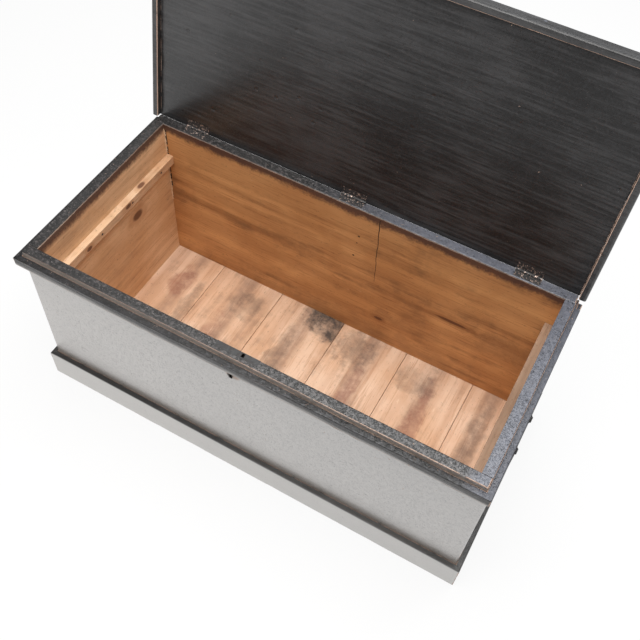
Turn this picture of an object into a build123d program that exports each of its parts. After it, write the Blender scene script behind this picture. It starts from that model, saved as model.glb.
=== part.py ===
from build123d import *
import os

# Storage trunk: a nailed pine box on a plinth, with a moulding below its rim, a lid hung on
# three butt hinges, a lock let into the front board and a drop handle on each end.
# Millimetres. X runs to the right along the front, Y to the back, Z up.
# The origin is the centre of the flat underside.

# box
box_length = 1010.0
box_depth = 474.0
rim_height = 437.0
front_wall = 22.0
left_wall = 21.0
right_wall = 31.0
right_rebate = 10.0
floor_thickness = 14.0
floor_joints = (-342.0, -167.0, 13.0, 188.0, 365.0)
board_gap = 0.8
corner_round = 3.0

# moulding below the rim
rim_step = 12.0
moulding_height = 34.0
moulding_width = 14.0
fascia_height = 22.0
bead_step = 1.5
moulding_round = 2.0
broken_length = 23.0
broken_depth = 9.0
broken_width = 9.0

# plinth
plinth_height = 80.0
plinth_thickness = 13.0
plinth_round = 3.0

# runners for a tray
runner_top = 345.0
runner_height = 24.0
runner_width = 17.0

# lid
lid_thickness = 20.0
lid_gap = 0.5
lip_clearance = 1.0
lip_thickness = 15.0
lip_gap = 1.0
lip_top_round = 8.0
lip_bottom_round = 5.0
lip_end_round = 6.0
open_angle = 100.0

# hinges
hinge_places = (-405.0, -10.0, 389.0)
hinge_length = 56.0
leaf_thickness = 2.0
leaf_seat = 18.0
barrel_radius = 4.0
barrel_gap = 0.5
pin_radius = 2.0
pin_head_radius = 3.2
pin_head = 1.2
running_gap = 0.05
knuckle_count = 5
knuckle_gap = 0.3

# lock
keyhole_x = -20.5
keyhole_height = 381.0
keyhole_radius = 5.0
keyhole_width = 6.0
keyhole_drop = 18.0
lock_x = -12.5
lock_width = 93.0
lock_height = 86.0
lock_plate_thickness = 2.0
selvedge_depth = 14.0
lock_screw_inset = 8.0
lock_screw_low = 12.0
lock_screw_high = 20.0
cap_width = 60.0
cap_depth = 10.0
cap_height = lock_height - 6.0
cap_wall = 1.5
staple_offset = 12.0
staple_length = 5.0
staple_drop = 13.0
staple_foot = 2.5
staple_clearance = 0.75
staple_wall = 1.5
eye_height = 5.0
link_length = 60.0
link_width = 14.0
bolt_height = 10.0
bolt_length = 22.0
bolt_gap = 0.3
nose_length = 9.0
nose_gap = 0.4
nose_start = 1.5

# drop handles
handle_height = 257.0
ear_spacing = 82.0
ear_width = 11.0
ear_wall = 2.6
handle_plate_length = ear_spacing + 42.0
handle_plate_height = 44.0
handle_plate_thickness = 2.0
handle_plate_round = 8.0
handle_screw_inset = 8.0
handle_screw_edge = 9.0
bail_radius = 3.2
bail_stand = 6.5
bail_clearance = 2.3
bail_width = ear_spacing + ear_width + 2 * (bail_radius + bail_clearance)
bail_drop = 58.0
bail_bend = 14.0
bail_shoulder = 5.0
bail_tip = 3.0

# nails and screws
fastener_gap = 0.1
nail_radius = 1.3
nail_head_radius = 3.0
nail_head = 1.0
corner_nail_length = 50.0
floor_nail_length = 40.0
runner_nail_length = 28.0
trim_nail_length = 26.0
corner_nail_count = 4
corner_nail_low = 25.0
corner_nail_high = 40.0
runner_nail_count = 4
runner_nail_inset = 50.0
front_nail_count = 6
front_nail_inset = 80.0
side_nail_count = 3
side_nail_inset = 70.0
screw_radius = 1.8
screw_head_radius = 3.6
screw_head = 1.5
long_screw = 18.0
short_screw = 14.0

# places that follow from the sizes above
half_length = box_length / 2
half_depth = box_depth / 2
left_inside = -half_length + left_wall
right_inside = half_length - right_wall
right_rim = half_length - right_rebate
front_inside = -half_depth + front_wall
back_inside = half_depth - front_wall
moulding_top = rim_height - rim_step
moulding_bottom = moulding_top - moulding_height
lid_bottom = rim_height + lid_gap
lid_top = lid_bottom + lid_thickness
lip_bottom = moulding_top + lip_gap
lid_left = -half_length - lip_clearance
lid_right = right_rim + lip_clearance
lid_front = -half_depth - lip_clearance
hinge_y = half_depth
hinge_z = rim_height + lid_gap / 2
hinge_line = Axis((0, hinge_y, hinge_z), (1, 0, 0))
barrel_room = barrel_radius + barrel_gap
bottom_corner = (Align.MIN, Align.MIN, Align.MIN)
below = (Align.CENTER, Align.CENTER, Align.MAX)
onward = (Align.CENTER, Align.CENTER, Align.MIN)


def save(part, name):
    part.label = name
    export_step(part, f"parts/{name}.step")


def save_open(part, name):
    """A lid piece is drawn closed and turned about the hinge line to where it stands open."""
    save(part.rotate(hinge_line, -open_angle), name)


def box_between(low, high, mode=Mode.ADD):
    """A box from its low corner to its high corner."""
    size = [b - a for a, b in zip(low, high)]
    with Locations(low):
        Box(*size, align=bottom_corner, mode=mode)


def facing(point, direction):
    """A plane at a point, turned the way that the head of a nail or screw faces."""
    return Plane(origin=point, z_dir=direction)


def spaced(low, high, count):
    """Evenly spaced places along a run, with one at each end."""
    step = (high - low) / (count - 1)
    return [low + step * index for index in range(count)]


def nails(places, length, gap=0.0, mode=Mode.ADD):
    """Nails with their heads flush in the given planes, or with a gap the holes for them."""
    with Locations(*places):
        Cylinder(nail_radius + gap, length + gap, align=below, mode=mode)
        Cylinder(nail_head_radius + gap, nail_head, align=below, mode=mode)


def nail_holes(places, length):
    nails(places, length, fastener_gap, Mode.SUBTRACT)


def screws(places, length, gap=0.0, mode=Mode.ADD):
    """Countersunk screws flush in the given planes, or with a gap the holes for them."""
    with Locations(*places):
        Cylinder(screw_radius + gap, length + gap, align=below, mode=mode)
        Cone(screw_radius + gap, screw_head_radius + gap, screw_head, align=below, mode=mode)


def screw_holes(places, length):
    screws(places, length, fastener_gap, Mode.SUBTRACT)


os.makedirs("parts", exist_ok=True)

# where the nails of the box go
left_wall_x = -half_length + left_wall / 2
right_wall_x = half_length - right_wall / 2
corner_zs = spaced(
    plinth_height + corner_nail_low, moulding_bottom - corner_nail_high, corner_nail_count
)
corner_places = [(x, z) for x in (left_wall_x, right_wall_x) for z in corner_zs]
front_corner_nails = [facing((x, -half_depth, z), (0, -1, 0)) for x, z in corner_places]
back_corner_nails = [facing((x, half_depth, z), (0, 1, 0)) for x, z in corner_places]
floor_edges = (-half_length, *floor_joints, half_length)
floor_nails = [
    facing(((low + high) / 2 + side * (high - low) / 4, y, 0), (0, 0, -1))
    for low, high in zip(floor_edges, floor_edges[1:])
    for side in (-1, 1)
    for y in (-half_depth + front_wall / 2, half_depth - front_wall / 2)
]
runner_middle = runner_top - runner_height / 2
runner_nail_ys = spaced(
    front_inside + runner_nail_inset, back_inside - runner_nail_inset, runner_nail_count
)
left_runner_nails = [
    facing((left_inside + runner_width, y, runner_middle), (1, 0, 0)) for y in runner_nail_ys
]
right_runner_nails = [
    facing((right_inside - runner_width, y, runner_middle), (-1, 0, 0)) for y in runner_nail_ys
]
front_trim_xs = spaced(
    -half_length + front_nail_inset, half_length - front_nail_inset, front_nail_count
)
side_trim_ys = spaced(
    -half_depth + side_nail_inset, half_depth - side_nail_inset, side_nail_count
)


def trim_nails(left_x, front_y, right_x, height):
    """Nail places in the front, left and right runs of a trim, on its outer faces."""
    front = [facing((x, front_y, height), (0, -1, 0)) for x in front_trim_xs]
    left = [facing((left_x, y, height), (-1, 0, 0)) for y in side_trim_ys]
    right = [facing((right_x, y, height), (1, 0, 0)) for y in side_trim_ys]
    return front, left, right


moulding_nails = trim_nails(
    -half_length - moulding_width,
    -half_depth - moulding_width,
    right_rim + moulding_width,
    moulding_top - fascia_height / 2,
)
plinth_nails = trim_nails(
    -half_length - plinth_thickness,
    -half_depth - plinth_thickness,
    half_length + plinth_thickness,
    plinth_height / 2,
)
lip_nails = trim_nails(
    lid_left - lip_thickness,
    lid_front - lip_thickness,
    lid_right + lip_thickness,
    lid_bottom + lid_thickness / 3,
)

# where the hinge screws go
leaf_front = half_depth - leaf_seat
leaf_screw_y = (leaf_front + hinge_y - barrel_room) / 2
barrel_bed = hinge_length / 2 + pin_head + barrel_gap
screw_xs = [place + side * hinge_length / 3 for place in hinge_places for side in (-1, 0, 1)]
box_hinge_screws = [facing((x, leaf_screw_y, rim_height), (0, 0, 1)) for x in screw_xs]
lid_hinge_screws = [facing((x, leaf_screw_y, lid_bottom), (0, 0, -1)) for x in screw_xs]

# how the lock lies in the front board
lock_back = front_inside - lock_plate_thickness
lock_front = lock_back - cap_depth
lock_bottom = rim_height - lock_height
lock_left = lock_x - lock_width / 2
lock_right = lock_x + lock_width / 2
cap_left = lock_x - cap_width / 2
cap_right = lock_x + cap_width / 2
cap_top = rim_height - lock_plate_thickness
cap_bottom = cap_top - cap_height
cap_inside = lock_front + cap_wall
staple_x = lock_x + staple_offset
staple_low = cap_inside + staple_clearance
staple_high = lock_back - staple_clearance
staple_middle = (staple_low + staple_high) / 2
eye_low = lid_bottom - staple_drop + staple_foot
eye_middle = eye_low + eye_height / 2
link_low = lid_bottom
link_high = lid_bottom + lock_plate_thickness
lock_screws = [
    facing((x, front_inside, z), (0, 1, 0))
    for x in (lock_left + lock_screw_inset, lock_right - lock_screw_inset)
    for z in (lock_bottom + lock_screw_low, rim_height - lock_screw_high)
]
link_screws = [
    facing((staple_x + side * link_length / 3, staple_middle, lid_bottom), (0, 0, -1))
    for side in (-1, 1)
]

# the handles, on the left face and on the right face
handle_sides = {"left": -1, "right": 1}
handle_screw_y = handle_plate_length / 2 - handle_screw_inset
handle_screw_z = handle_plate_height / 2 - handle_screw_edge


def handle_screws(side):
    head_x = side * (half_length + handle_plate_thickness)
    return [
        facing((head_x, y, handle_height + z), (side, 0, 0))
        for y in (-handle_screw_y, handle_screw_y)
        for z in (-handle_screw_z, handle_screw_z)
    ]


# outline of the keyhole, used in the board and in the lock behind it
with BuildSketch() as keyhole:
    with Locations((keyhole_x, keyhole_height)):
        Circle(keyhole_radius)
        Rectangle(keyhole_width, keyhole_drop, align=(Align.CENTER, Align.MAX))

# front board, with the keyhole and the bed of the lock
with BuildPart() as front_board:
    box_between((-half_length, -half_depth, floor_thickness), (half_length, front_inside, rim_height))
    fillet(front_board.edges().filter_by(Axis.Z).group_by(Axis.Y)[0], corner_round)
    box_between(
        (right_rim, -half_depth, moulding_bottom),
        (half_length, front_inside, rim_height),
        Mode.SUBTRACT,
    )
    box_between(
        (lock_left, lock_back, lock_bottom), (lock_right, front_inside, rim_height), Mode.SUBTRACT
    )
    box_between(
        (cap_left, lock_front, cap_bottom), (cap_right, front_inside, rim_height), Mode.SUBTRACT
    )
    box_between(
        (lock_left, front_inside - selvedge_depth, cap_top),
        (lock_right, front_inside, rim_height),
        Mode.SUBTRACT,
    )
    with BuildSketch(Plane.XZ.offset(half_depth)):
        add(keyhole.sketch)
    extrude(amount=-front_wall, mode=Mode.SUBTRACT)
    nail_holes(front_corner_nails, corner_nail_length)
    nail_holes(floor_nails, floor_nail_length)
    nail_holes(moulding_nails[0] + plinth_nails[0], trim_nail_length)
    screw_holes(lock_screws, short_screw)
save(front_board.part, "front_board")

# back board, with the beds of the three hinges and of their barrels
with BuildPart() as back_board:
    box_between((-half_length, back_inside, floor_thickness), (half_length, half_depth, rim_height))
    fillet(back_board.edges().filter_by(Axis.Z).group_by(Axis.Y)[-1], corner_round)
    box_between(
        (right_rim, back_inside, moulding_bottom),
        (half_length, half_depth, rim_height),
        Mode.SUBTRACT,
    )
    for place in hinge_places:
        box_between(
            (place - hinge_length / 2, leaf_front, rim_height - leaf_thickness),
            (place + hinge_length / 2, half_depth, rim_height),
            Mode.SUBTRACT,
        )
        box_between(
            (place - barrel_bed, hinge_y - barrel_room, hinge_z - barrel_room),
            (place + barrel_bed, half_depth, rim_height),
            Mode.SUBTRACT,
        )
    screw_holes(box_hinge_screws, long_screw)
    nail_holes(back_corner_nails, corner_nail_length)
    nail_holes(floor_nails, floor_nail_length)
save(back_board.part, "back_board")

# end boards, held between the front and the back
with BuildPart() as left_end:
    box_between((-half_length, front_inside, floor_thickness), (left_inside, back_inside, rim_height))
    nail_holes(front_corner_nails + back_corner_nails, corner_nail_length)
    nail_holes(moulding_nails[1] + plinth_nails[1], trim_nail_length)
    nail_holes(left_runner_nails, runner_nail_length)
    screw_holes(handle_screws(-1), long_screw)
save(left_end.part, "left_end")

with BuildPart() as right_end:
    box_between((right_inside, front_inside, floor_thickness), (half_length, back_inside, rim_height))
    box_between(
        (right_rim, front_inside, moulding_bottom),
        (half_length, back_inside, rim_height),
        Mode.SUBTRACT,
    )
    nail_holes(front_corner_nails + back_corner_nails, corner_nail_length)
    nail_holes(moulding_nails[2] + plinth_nails[2], trim_nail_length)
    nail_holes(right_runner_nails, runner_nail_length)
    screw_holes(handle_screws(1), long_screw)
save(right_end.part, "right_end")

# floor boards, running from front to back and nailed up under the walls
for number, (low, high) in enumerate(zip(floor_edges, floor_edges[1:]), start=1):
    low_edge = low + (board_gap / 2 if low > floor_edges[0] else 0)
    high_edge = high - (board_gap / 2 if high < floor_edges[-1] else 0)
    with BuildPart() as floor_board:
        box_between((low_edge, -half_depth, 0), (high_edge, half_depth, floor_thickness))
        nail_holes(
            [plane for plane in floor_nails if low < plane.origin.X < high], floor_nail_length
        )
    save(floor_board.part, f"floor_board_{number}")

# sections of the trims, drawn with X outward and Y up
fascia_foot = moulding_top - fascia_height
bead_out = moulding_width - bead_step
with BuildSketch() as moulding_section:
    with BuildLine():
        outline = Polyline(
            (0, moulding_bottom),
            (0, moulding_top),
            (moulding_width, moulding_top),
            (moulding_width, fascia_foot),
            (bead_out, fascia_foot - bead_step),
        )
        bead = ThreePointArc(
            outline @ 1,
            (bead_out + bead_step / 2, (fascia_foot - bead_step + moulding_bottom) / 2),
            (bead_out - bead_step, moulding_bottom),
        )
        Line(bead @ 1, outline @ 0)
    make_face()
    fillet(moulding_section.vertices().group_by(Axis.Y)[-1].sort_by(Axis.X)[-1:], moulding_round)

with BuildSketch() as plinth_section:
    Rectangle(plinth_thickness, plinth_height, align=(Align.MIN, Align.MIN))
    fillet(plinth_section.vertices().group_by(Axis.Y)[-1].sort_by(Axis.X)[-1:], plinth_round)

with BuildSketch() as lip_section:
    with Locations((0, lip_bottom)):
        Rectangle(lip_thickness, lid_top - lip_bottom, align=(Align.MIN, Align.MIN))
    outer = lip_section.vertices().group_by(Axis.X)[-1]
    fillet(outer.sort_by(Axis.Y)[-1:], lip_top_round)
    outer = lip_section.vertices().group_by(Axis.Y)[0]
    fillet(outer.sort_by(Axis.X)[-1:], lip_bottom_round)


def trim_run(section, plane, length, mitres, side, holes):
    """One run of a trim: its section drawn out along the box and cut off at the mitres."""
    with BuildPart() as run:
        with BuildSketch(plane):
            add(section)
        extrude(amount=length)
        for mitre in mitres:
            split(bisect_by=mitre, keep=side)
        nail_holes(holes, trim_nail_length)
    return run.part


def trim_runs(section, width, left_x, front_y, right_x, back_y, holes):
    """The front, left and right runs of a trim that meet in mitres at the front corners."""
    left_mitre = Plane(origin=(left_x, front_y, 0), z_dir=(1, -1, 0))
    right_mitre = Plane(origin=(right_x, front_y, 0), z_dir=(-1, -1, 0))
    front_plane = Plane(origin=(right_x + width, front_y, 0), x_dir=(0, -1, 0), z_dir=(-1, 0, 0))
    left_plane = Plane(origin=(left_x, front_y - width, 0), x_dir=(-1, 0, 0), z_dir=(0, 1, 0))
    right_plane = Plane(origin=(right_x, back_y, 0), x_dir=(1, 0, 0), z_dir=(0, -1, 0))
    across = right_x - left_x + 2 * width
    deep = back_y - front_y + width
    return (
        trim_run(section, front_plane, across, (left_mitre, right_mitre), Keep.TOP, holes[0]),
        trim_run(section, left_plane, deep, (left_mitre,), Keep.BOTTOM, holes[1]),
        trim_run(section, right_plane, deep, (right_mitre,), Keep.BOTTOM, holes[2]),
    )


# moulding, whose right run is broken down at its back end
front_run, left_run, right_run = trim_runs(
    moulding_section.sketch,
    moulding_width,
    -half_length,
    -half_depth,
    right_rim,
    half_depth,
    moulding_nails,
)
save(front_run, "front_moulding")
save(left_run, "left_moulding")
with BuildPart() as right_moulding:
    add(right_run)
    box_between(
        (
            right_rim + moulding_width - broken_width,
            half_depth - broken_length,
            moulding_top - broken_depth,
        ),
        (right_rim + moulding_width, half_depth, moulding_top),
        Mode.SUBTRACT,
    )
save(right_moulding.part, "right_moulding")

# plinth
front_run, left_run, right_run = trim_runs(
    plinth_section.sketch,
    plinth_thickness,
    -half_length,
    -half_depth,
    half_length,
    half_depth,
    plinth_nails,
)
save(front_run, "front_plinth")
save(left_run, "left_plinth")
save(right_run, "right_plinth")

# runners along the end boards
for name, wall_x, inward, places in (
    ("left_runner", left_inside, 1, left_runner_nails),
    ("right_runner", right_inside, -1, right_runner_nails),
):
    face_x = wall_x + inward * runner_width
    with BuildPart() as runner:
        box_between(
            (min(wall_x, face_x), front_inside, runner_top - runner_height),
            (max(wall_x, face_x), back_inside, runner_top),
        )
        nail_holes(places, runner_nail_length)
    save(runner.part, name)

# nails
with BuildPart() as corner_nail_set:
    nails(front_corner_nails + back_corner_nails, corner_nail_length)
save(corner_nail_set.part, "corner_nails")

with BuildPart() as floor_nail_set:
    nails(floor_nails, floor_nail_length)
save(floor_nail_set.part, "floor_nails")

with BuildPart() as runner_nail_set:
    nails(left_runner_nails + right_runner_nails, runner_nail_length)
save(runner_nail_set.part, "runner_nails")

with BuildPart() as moulding_nail_set:
    nails(sum(moulding_nails, []), trim_nail_length)
save(moulding_nail_set.part, "moulding_nails")

with BuildPart() as plinth_nail_set:
    nails(sum(plinth_nails, []), trim_nail_length)
save(plinth_nail_set.part, "plinth_nails")

# lid board, with the beds of the hinges and of the lock's link plate
with BuildPart() as lid_board:
    box_between((lid_left, lid_front, lid_bottom), (lid_right, half_depth, lid_top))
    for place in hinge_places:
        box_between(
            (place - hinge_length / 2, leaf_front, lid_bottom),
            (place + hinge_length / 2, half_depth, lid_bottom + leaf_thickness),
            Mode.SUBTRACT,
        )
        box_between(
            (place - barrel_bed, hinge_y - barrel_room, lid_bottom),
            (place + barrel_bed, half_depth, hinge_z + barrel_room),
            Mode.SUBTRACT,
        )
    box_between(
        (staple_x - link_length / 2, staple_middle - link_width / 2, link_low),
        (staple_x + link_length / 2, staple_middle + link_width / 2, link_high),
        Mode.SUBTRACT,
    )
    screw_holes(lid_hinge_screws, short_screw)
    screw_holes(link_screws, short_screw)
    nail_holes(sum(lip_nails, []), trim_nail_length)
save_open(lid_board.part, "lid_board")

# lip round the lid, mitred at its front corners and rounded at its back ends
front_run, left_run, right_run = trim_runs(
    lip_section.sketch,
    lip_thickness,
    lid_left,
    lid_front,
    lid_right,
    half_depth,
    lip_nails,
)
save_open(front_run, "front_lip")
with BuildSketch(Plane.YZ.offset(lid_left - lip_thickness)) as lip_side:
    with Locations((half_depth, lip_bottom)):
        Rectangle(
            2 * box_depth,
            lid_top - lip_bottom,
            align=(Align.MAX, Align.MIN),
        )
    back_foot = lip_side.vertices().group_by(Axis.Y)[-1].sort_by(Axis.Z)[:1]
    fillet(back_foot, lip_end_round)
for name, run in (("left_lip", left_run), ("right_lip", right_run)):
    with BuildPart() as lip:
        add(run)
        add(lip_side.sketch)
        extrude(amount=box_length + 2 * lip_thickness, mode=Mode.INTERSECT)
    save_open(lip.part, name)

with BuildPart() as lip_nail_set:
    nails(sum(lip_nails, []), trim_nail_length)
save_open(lip_nail_set.part, "lip_nails")

# hinges: each leaf carries every other knuckle of the barrel
pitch = hinge_length / knuckle_count


def barrel_piece(start, length, radius, mode):
    with Locations(Plane(origin=(start, hinge_y, hinge_z), z_dir=(1, 0, 0))):
        Cylinder(radius, length, align=onward, mode=mode)


def hinge_leaf(place, low, high, first_own):
    """A leaf between two heights, with its own knuckles and room for the other leaf's."""
    start = place - hinge_length / 2
    with BuildPart() as leaf:
        box_between((start, leaf_front, low), (start + hinge_length, hinge_y, high))
        for index in range(1 - first_own, knuckle_count, 2):
            barrel_piece(start + index * pitch, pitch, barrel_room, Mode.SUBTRACT)
        for index in range(first_own, knuckle_count, 2):
            barrel_piece(
                start + index * pitch + knuckle_gap / 2,
                pitch - knuckle_gap,
                barrel_radius,
                Mode.ADD,
            )
        barrel_piece(start, hinge_length, pin_radius + running_gap, Mode.SUBTRACT)
        if first_own:
            screw_holes(lid_hinge_screws, short_screw)
        else:
            screw_holes(box_hinge_screws, long_screw)
    return leaf.part


for number, place in enumerate(hinge_places, start=1):
    box_leaf = hinge_leaf(place, rim_height - leaf_thickness, rim_height, 0)
    save(box_leaf, f"hinge_{number}_box_leaf")
    lid_leaf = hinge_leaf(place, lid_bottom, lid_bottom + leaf_thickness, 1)
    save_open(lid_leaf, f"hinge_{number}_lid_leaf")
    with BuildPart() as pin:
        start = place - hinge_length / 2
        barrel_piece(start - pin_head, hinge_length + 2 * pin_head, pin_radius, Mode.ADD)
        barrel_piece(start - pin_head, pin_head, pin_head_radius, Mode.ADD)
        barrel_piece(start + hinge_length, pin_head, pin_head_radius, Mode.ADD)
    save(pin.part, f"hinge_{number}_pin")

with BuildPart() as box_hinge_screw_set:
    screws(box_hinge_screws, long_screw)
save(box_hinge_screw_set.part, "hinge_screws_box")

with BuildPart() as lid_hinge_screw_set:
    screws(lid_hinge_screws, short_screw)
save_open(lid_hinge_screw_set.part, "hinge_screws_lid")

# lock: a plate with a selvedge along the rim, a cap over the bolt and a link plate on the lid
with BuildPart() as lock_plate:
    box_between((lock_left, lock_back, lock_bottom), (lock_right, front_inside, rim_height))
    box_between(
        (lock_left, front_inside - selvedge_depth, cap_top), (lock_right, front_inside, rim_height)
    )
    box_between(
        (staple_x - staple_length / 2 - staple_clearance, cap_inside, cap_top),
        (staple_x + staple_length / 2 + staple_clearance, lock_back, rim_height),
        Mode.SUBTRACT,
    )
    screw_holes(lock_screws, short_screw)
save(lock_plate.part, "lock_plate")

with BuildPart() as lock_cap:
    box_between((cap_left, lock_front, cap_bottom), (cap_right, lock_back, cap_top))
    box_between(
        (cap_left + cap_wall, cap_inside, cap_bottom + cap_wall),
        (cap_right - cap_wall, lock_back, cap_top),
        Mode.SUBTRACT,
    )
    with BuildSketch(Plane.XZ.offset(-lock_front)):
        add(keyhole.sketch)
    extrude(amount=-cap_wall, mode=Mode.SUBTRACT)
save(lock_cap.part, "lock_cap")

nose_tip = staple_x - staple_length / 2 - nose_start
nose_half_height = eye_height / 2 - nose_gap
nose_low = staple_low + staple_wall + nose_gap
nose_high = staple_high - staple_wall - nose_gap
with BuildPart() as lock_bolt:
    box_between(
        (nose_tip - nose_length, nose_low, eye_middle - nose_half_height),
        (nose_tip, nose_high, eye_middle + nose_half_height),
    )
    box_between(
        (
            nose_tip - nose_length - bolt_length,
            cap_inside + bolt_gap,
            eye_middle - bolt_height / 2,
        ),
        (nose_tip - nose_length, lock_back - bolt_gap, eye_middle + bolt_height / 2),
    )
save(lock_bolt.part, "lock_bolt")

with BuildPart() as lock_screw_set:
    screws(lock_screws, short_screw)
save(lock_screw_set.part, "lock_screws")

with BuildPart() as link_plate:
    box_between(
        (staple_x - link_length / 2, staple_middle - link_width / 2, link_low),
        (staple_x + link_length / 2, staple_middle + link_width / 2, link_high),
    )
    box_between(
        (staple_x - staple_length / 2, staple_low, lid_bottom - staple_drop),
        (staple_x + staple_length / 2, staple_high, link_low),
    )
    box_between(
        (staple_x - staple_length / 2, staple_low + staple_wall, eye_low),
        (staple_x + staple_length / 2, staple_high - staple_wall, eye_low + eye_height),
        Mode.SUBTRACT,
    )
    screw_holes(link_screws, short_screw)
save_open(link_plate.part, "link_plate")

with BuildPart() as link_screw_set:
    screws(link_screws, short_screw)
save_open(link_screw_set.part, "link_screws")

# drop handles: a plate with two ears, and a bail whose ends turn in through the ears
for name, side in handle_sides.items():
    face_x = side * half_length
    bail_x = side * (half_length + bail_stand)
    outward = Plane(origin=(face_x, 0, handle_height), x_dir=(0, side, 0), z_dir=(side, 0, 0))
    with BuildPart() as handle_plate:
        with BuildSketch(outward):
            RectangleRounded(handle_plate_length, handle_plate_height, handle_plate_round)
        extrude(amount=handle_plate_thickness)
        for ear_y in (-ear_spacing / 2, ear_spacing / 2):
            with Locations(Plane(origin=(bail_x, ear_y, handle_height), z_dir=(0, 1, 0))):
                Cylinder(bail_radius + ear_wall, ear_width)
            ear_low = min(face_x, bail_x)
            box_between(
                (ear_low, ear_y - ear_width / 2, handle_height - bail_radius - ear_wall),
                (
                    ear_low + bail_stand,
                    ear_y + ear_width / 2,
                    handle_height + bail_radius + ear_wall,
                ),
            )
            with Locations(Plane(origin=(bail_x, ear_y, handle_height), z_dir=(0, 1, 0))):
                Cylinder(bail_radius + running_gap, 2 * ear_width, mode=Mode.SUBTRACT)
        screw_holes(handle_screws(side), long_screw)
    save(handle_plate.part, f"{name}_handle_plate")

    tip_y = ear_spacing / 2 - ear_width / 2 - bail_tip
    arm_y = bail_width / 2
    grip_z = handle_height - bail_drop
    with BuildPart() as bail:
        with BuildLine() as route:
            FilletPolyline(
                (bail_x, tip_y, handle_height),
                (bail_x, arm_y, handle_height),
                (bail_x, arm_y, grip_z),
                (bail_x, -arm_y, grip_z),
                (bail_x, -arm_y, handle_height),
                (bail_x, -tip_y, handle_height),
                radius=[bail_shoulder, bail_bend, bail_bend, bail_shoulder],
            )
        with BuildSketch(Plane(origin=route.line @ 0, z_dir=route.line % 0)):
            Circle(bail_radius)
        sweep()
    save(bail.part, f"{name}_bail")

    with BuildPart() as handle_screw_set:
        screws(handle_screws(side), long_screw)
    save(handle_screw_set.part, f"{name}_handle_screws")
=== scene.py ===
import math
import random

import bmesh
import bpy
from mathutils import Matrix, Vector, noise


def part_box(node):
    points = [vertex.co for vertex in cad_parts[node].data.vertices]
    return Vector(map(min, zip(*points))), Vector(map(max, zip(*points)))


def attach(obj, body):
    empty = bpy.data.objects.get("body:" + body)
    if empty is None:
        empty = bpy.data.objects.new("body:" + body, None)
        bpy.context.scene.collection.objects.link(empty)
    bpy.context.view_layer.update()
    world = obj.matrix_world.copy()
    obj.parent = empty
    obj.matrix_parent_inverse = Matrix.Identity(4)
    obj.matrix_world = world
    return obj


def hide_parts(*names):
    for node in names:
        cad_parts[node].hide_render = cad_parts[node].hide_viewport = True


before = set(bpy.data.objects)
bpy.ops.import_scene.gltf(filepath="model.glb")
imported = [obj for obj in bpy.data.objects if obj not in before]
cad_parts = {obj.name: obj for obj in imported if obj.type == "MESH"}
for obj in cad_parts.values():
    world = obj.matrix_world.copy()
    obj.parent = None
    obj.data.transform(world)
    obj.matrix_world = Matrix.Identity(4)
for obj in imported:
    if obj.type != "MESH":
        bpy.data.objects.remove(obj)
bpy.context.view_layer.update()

splinterSeed = 7
random.seed(splinterSeed)
print("frame loaded,", len(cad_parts), "nodes")


# camera at the photograph's angle
cameraView = {
    "place": (0.4783, -0.9224, 1.7492),
    "right": (0.8739, 0.4837, 0.0475),
    "up": (-0.4192, 0.7007, 0.5773),
    "lens": 47.56,
    "sensor": 36.0,
    "near": 0.05,
}


def makeCamera(look):
    camera = bpy.data.objects.new("camera", bpy.data.cameras.new("camera"))
    bpy.context.scene.collection.objects.link(camera)
    right = Vector(look["right"]).normalized()
    back = right.cross(Vector(look["up"])).normalized()
    up = back.cross(right)
    turn = Matrix((right, up, back)).transposed()
    camera.matrix_world = Matrix.Translation(look["place"]) @ turn.to_4x4()
    camera.data.lens = look["lens"]
    camera.data.sensor_width = look["sensor"]
    camera.data.clip_start = look["near"]
    bpy.context.scene.camera = camera


makeCamera(cameraView)


# shader sums: a wire is a socket that makes Math nodes when it is added, multiplied or compared
class Wire:
    def __init__(self, finish, socket):
        self.finish = finish
        self.socket = socket

    def maths(self, operation, *others):
        return self.finish.sums(operation, self, *others)

    def __add__(self, other):
        return self.maths("ADD", other)

    def __sub__(self, other):
        return self.maths("SUBTRACT", other)

    def __rsub__(self, other):
        return self.finish.sums("SUBTRACT", other, self)

    def __mul__(self, other):
        return self.maths("MULTIPLY", other)

    def __gt__(self, other):
        return self.maths("GREATER_THAN", other)

    def __lt__(self, other):
        return self.maths("LESS_THAN", other)

    __radd__ = __add__
    __rmul__ = __mul__


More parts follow.
